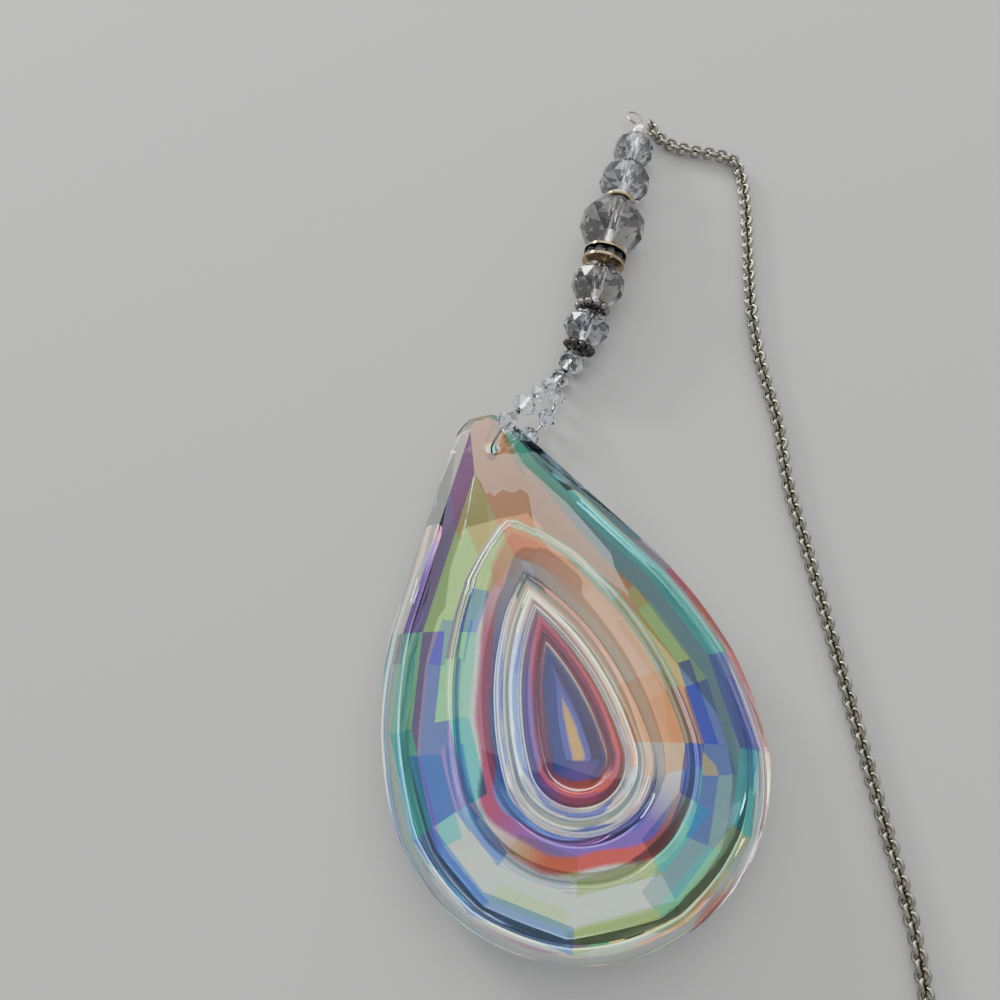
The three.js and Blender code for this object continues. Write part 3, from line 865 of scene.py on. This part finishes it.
def ball(centre, radius, around=14, rows=8):
    """A round body made of rows of faces from its bottom point to its top point."""
    x, y, z = centre
    verts = [(x, y, z - radius), (x, y, z + radius)]
    for r in range(1, rows):
        rise = math.pi * r / rows - math.pi / 2
        for k in range(around):
            turn = 2 * math.pi * k / around
            flat = radius * math.cos(rise)
            high = z + radius * math.sin(rise)
            verts.append((x + flat * math.cos(turn), y + flat * math.sin(turn), high))
    faces = []
    for k in range(around):
        n = (k + 1) % around
        faces.append((0, 2 + n, 2 + k))
        last = 2 + (rows - 2) * around
        faces.append((1, last + k, last + n))
        for r in range(rows - 2):
            a, b = 2 + r * around + k, 2 + r * around + n
            faces.append((a, b, b + around, a + around))
    return verts, faces


def joined(parts):
    """Puts (verts, faces, slot) parts together and says each face's material slot."""
    verts, faces, slots = [], [], []
    for part_verts, part_faces, slot in parts:
        faces += [tuple(len(verts) + n for n in face) for face in part_faces]
        verts += list(part_verts)
        slots += [slot] * len(part_faces)
    return verts, faces, slots


def round_places(count, reach):
    """Places spaced evenly round the axis."""
    turns = [2 * math.pi * i / count for i in range(count)]
    return [(reach * math.cos(turn), reach * math.sin(turn), 0) for turn in turns]


def cut_bead(diameter, length, bore, rows, sides):
    """A cut bead. Every third facet of its middle rows is in the second slot, for contrast: on the
    string's beads that slot is near-black glass, as painted shade.
    """
    least = bore + BEAD_WALL
    profile = [(along * length / 2, max(out * diameter / 2, least)) for along, out in rows]
    verts, faces = turned(profile, sides, bore, stagger=True)
    slots = []
    for i in range(len(faces)):
        row, station = divmod(i // 2, sides)
        slots.append(1 if 0 < row < len(rows) - 1 and (row + station) % 3 == 0 else 0)
    return verts, faces, slots


def daisy(diameter, length):
    """A spacer of round dots about a bevelled hub."""
    dot = 0.56 * length  # a dot's radius, which stands just proud of the hub
    middle = diameter / 2 - dot
    rim = middle - 0.35
    hub = [(-0.8 * dot, rim), (-0.5 * dot, middle), (0.5 * dot, middle), (0.8 * dot, rim)]
    parts = [(*turned(hub, 40, STRING_BORE + 0.2), 0)]
    for place in round_places(DOTS, middle):
        parts.append((*ball(place, dot), 0))
    return joined(parts)


def rondelle(diameter, length):
    """Two thin flanges with a row of stones between them."""
    half, radius = length / 2, diameter / 2
    flange, chamfer, undercut, sides = 0.42, 0.1, 0.02, 48
    core = radius - 0.8
    profile = [
        (-half, radius - chamfer),
        (-half + chamfer, radius),
        (-half + flange, radius),
        (-half + flange + undercut, core),
        (half - flange - undercut, core),
        (half - flange, radius),
        (half - chamfer, radius),
        (half, radius - chamfer),
    ]
    verts, faces = turned(profile, sides, STRING_BORE + 0.2)
    parts = [(verts, faces, 0)]
    stone = half - flange + 0.12  # set a little into the flanges
    for place in round_places(STONES, radius - stone):
        parts.append((*ball(place, stone, around=8, rows=4), 1))
    verts, faces, slots = joined(parts)
    # The hollow between the flanges takes the third slot: dark metal, as painted shade.
    hollow = range(2 * 2 * sides, 5 * 2 * sides)  # the faces between the flanges
    return verts, faces, [2 if i in hollow else slot for i, slot in enumerate(slots)]


def ring_spacer(diameter, length):
    """A plain ring with a rounded rim."""
    half, outer, rounding, steps = length / 2, diameter / 2, 0.35, 8
    rows = []
    for i in range(steps + 1):
        turn = math.pi * (i / steps - 0.5)
        rows.append((half * math.sin(turn), outer - rounding + rounding * math.cos(turn)))
    return joined([(*turned(rows, 48, STRING_BORE + 0.4), 0)])


def crimp(diameter, length):
    """A round cover, cut off square at both ends."""
    rows, steps = [], 10
    for i in range(steps + 1):
        turn = math.pi / 2 * (i / steps - 0.5)
        rise = math.sin(turn) / math.sin(math.pi / 4)
        rows.append((length / 2 * rise, diameter / 2 * math.cos(turn)))
    return joined([(*turned(rows, 36, STRING_BORE), 0)])


def middle_of(node):
    low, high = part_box(node)
    return (low + high) / 2


def thread(name, node, shape, direction, materials, smooth):
    """Lays a piece made about Z, in millimetres, on its CAD solid's place."""
    verts, faces, slots = shape
    turn = direction.to_track_quat("Z", "Y").to_matrix()
    centre = middle_of(node)
    points = [centre + turn @ (Vector(p) * MM * WITHIN_SOLID) for p in verts]
    piece = add_mesh(name, points, faces, materials, smooth=smooth, slots=slots)
    if smooth:
        piece.data.set_sharp_from_angle(angle=METAL_SHARP)
    return finish_piece(piece, [node])


SPACERS = {"daisy": daisy, "rondelle": rondelle, "ring": ring_spacer, "crimp": crimp}


def build_string():
    """The beads and spacers, each turned along the line of its neighbours."""
    centres = [middle_of(row[0]) for row in THREADED]
    for i, (node, kind, diameter, length, material, slot) in enumerate(THREADED):
        direction = centres[min(i + 1, len(centres) - 1)] - centres[max(i - 1, 0)]
        materials = [material]
        if kind == "bead":
            # every third facet gets painted shade
            materials.append(PAINTED_SHADE_GLASS)
            sides = SMALL_SIDES if diameter < SMALL_BEAD else LARGE_SIDES
            shape = cut_bead(diameter, length, STRING_BORE, BEAD_ROWS, sides)
        else:
            shape = SPACERS[kind](diameter, length)
        if kind == "rondelle":
            # the third slot is dark metal, painted shade between the rondelle's flanges
            materials += [STONE_GLASS, DARK_SILVER]
        thread(f"cut_{node}", node, shape, direction.normalized(), materials, kind != "bead")


def build_legs():
    """The small crystals between the string and the hole."""
    hole = at(0, HOLE_Y, WIRE_IN_HOLE)
    for stem, diameters in LEGS:
        nodes = [f"{stem}_{i + 1}" for i in range(len(diameters))]
        line = [middle_of("leg_top_bead"), *(middle_of(n) for n in nodes), hole]
        for i, (node, diameter) in enumerate(zip(nodes, diameters)):
            direction = (line[i + 2] - line[i]).normalized()
            length = diameter * LEG_BEAD_LENGTH
            shape = cut_bead(diameter, length, LEG_BORE, LEG_ROWS, LEG_SIDES)
            glasses = [CLEAR_GLASS, BRIGHT_COAT]
            thread(f"cut_{node}", node, shape, direction, glasses, False)


build_string()
build_legs()

# ---- the wire keeps its solid ----

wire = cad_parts["beading_wire"]
wire.data.materials.clear()
wire.data.materials.append(WIRE_METAL)
